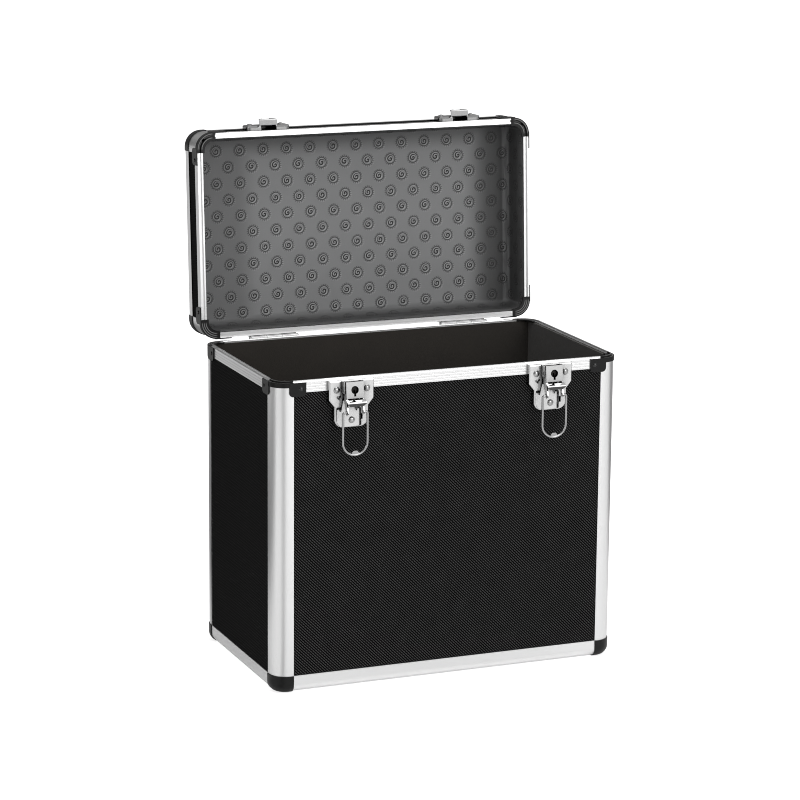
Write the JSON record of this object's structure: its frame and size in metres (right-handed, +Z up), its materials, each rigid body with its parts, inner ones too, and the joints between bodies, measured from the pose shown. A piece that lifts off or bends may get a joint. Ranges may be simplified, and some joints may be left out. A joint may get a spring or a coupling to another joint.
{
  "type": "record carrying case",
  "caption": "Aluminium framed carrying case for long play records, with a hinged lid, draw latches, corner caps and a folding top handle.",
  "frame": {"origin": "bottom centre of the whole part at rest, with the lid open, on the flat undersides of the corner caps", "axes": "+Z up, the latches face -Y, X runs along the case width; the lid stands open at the back (+Y)"},
  "size_m": [0.3642, 0.3016, 0.525],
  "materials": {
    "aluminium": "satin anodised extrusion with fine lengthwise lines",
    "board": "black laminated board with a fine diagonal raised dash texture",
    "black_plastic": "satin black moulding",
    "felt": "dark felt",
    "pad": "grey foam embossed with small spirals",
    "chrome": "bright plated pressings and wire",
    "steel": "plated steel",
    "lock": "dark lock barrel",
    "grip": "matt black moulded grip"
  },
  "bodies": {
    "case": {"case_back_board": "board", "case_bottom_board": "board", "case_bottom_rail_back": "aluminium", "case_bottom_rail_front": "aluminium", "case_bottom_rail_left": "aluminium", "case_bottom_rail_right": "aluminium", "case_corner_caps": "black_plastic", "case_front_board": "board", "case_left_board": "board", "case_lining": "felt", "case_post_back_left": "aluminium", "case_post_back_right": "aluminium", "case_post_front_left": "aluminium", "case_post_front_right": "aluminium", "case_right_board": "board", "case_rim_brackets": "black_plastic", "case_rim_rail_back": "aluminium", "case_rim_rail_front": "aluminium", "case_rim_rail_left": "aluminium", "case_rim_rail_right": "aluminium", "case_rivets": "chrome", "hinge_case_leaf_left": "steel", "hinge_case_leaf_right": "steel", "hinge_pins": "steel", "latch_pan_left": "chrome", "latch_pan_right": "chrome", "latch_pins": "chrome"},
    "lid": {"handle_pins": "steel", "handle_plates": "steel", "hinge_lid_leaf_left": "steel", "hinge_lid_leaf_right": "steel", "lid_back_board": "board", "lid_catch_left": "chrome", "lid_catch_right": "chrome", "lid_corner_caps": "black_plastic", "lid_corner_posts": "aluminium", "lid_front_board": "board", "lid_left_board": "board", "lid_pad": "pad", "lid_right_board": "board", "lid_rim_brackets": "black_plastic", "lid_rim_rail_back": "aluminium", "lid_rim_rail_front": "aluminium", "lid_rim_rail_left": "aluminium", "lid_rim_rail_right": "aluminium", "lid_rivets": "chrome", "lid_top_board": "board", "lid_top_rail_back": "aluminium", "lid_top_rail_front": "aluminium", "lid_top_rail_left": "aluminium", "lid_top_rail_right": "aluminium", "lid_wall_lining": "felt"},
    "lever_left": {"latch_lever_left": "chrome"},
    "bail_left": {"latch_bail_left": "chrome"},
    "lock_left": {"lock_barrel_left": "lock"},
    "lever_right": {"latch_lever_right": "chrome"},
    "bail_right": {"latch_bail_right": "chrome"},
    "lock_right": {"lock_barrel_right": "lock"},
    "handle": {"handle_frame": "steel", "handle_grip": "grip"}
  },
  "joints": [
    {"name": "lid_hinge", "type": "hinge", "parent": "case", "child": "lid", "pos_m": [0, 0.07811, 0.3055], "axis": [1, 0, 0], "range_deg": [0, 93.25]},
    {"name": "latch_lever_left", "type": "hinge", "parent": "case", "child": "lever_left", "pos_m": [-0.104, -0.13929, 0.3046], "axis": [1, 0, 0], "range_deg": [-110, 0]},
    {"name": "latch_bail_left", "type": "hinge", "parent": "lever_left", "child": "bail_left", "pos_m": [-0.104, -0.14529, 0.2775], "axis": [-1, 0, 0], "range_deg": [-5, 189]},
    {"name": "lock_turn_left", "type": "hinge", "parent": "lever_left", "child": "lock_left", "pos_m": [-0.104, -0.13879, 0.2987], "axis": [0, -1, 0], "range_deg": [0, 90]},
    {"name": "latch_lever_right", "type": "hinge", "parent": "case", "child": "lever_right", "pos_m": [0.104, -0.13929, 0.3046], "axis": [1, 0, 0], "range_deg": [-110, 0]},
    {"name": "latch_bail_right", "type": "hinge", "parent": "lever_right", "child": "bail_right", "pos_m": [0.104, -0.14529, 0.2775], "axis": [-1, 0, 0], "range_deg": [-5, 189]},
    {"name": "lock_turn_right", "type": "hinge", "parent": "lever_right", "child": "lock_right", "pos_m": [0.104, -0.13879, 0.2987], "axis": [0, -1, 0], "range_deg": [0, 90]},
    {"name": "handle_fold", "type": "hinge", "parent": "lid", "child": "handle", "pos_m": [0, 0.14184, 0.4082], "axis": [1, 0, 0], "range_deg": [-3, 176]}
  ]
}
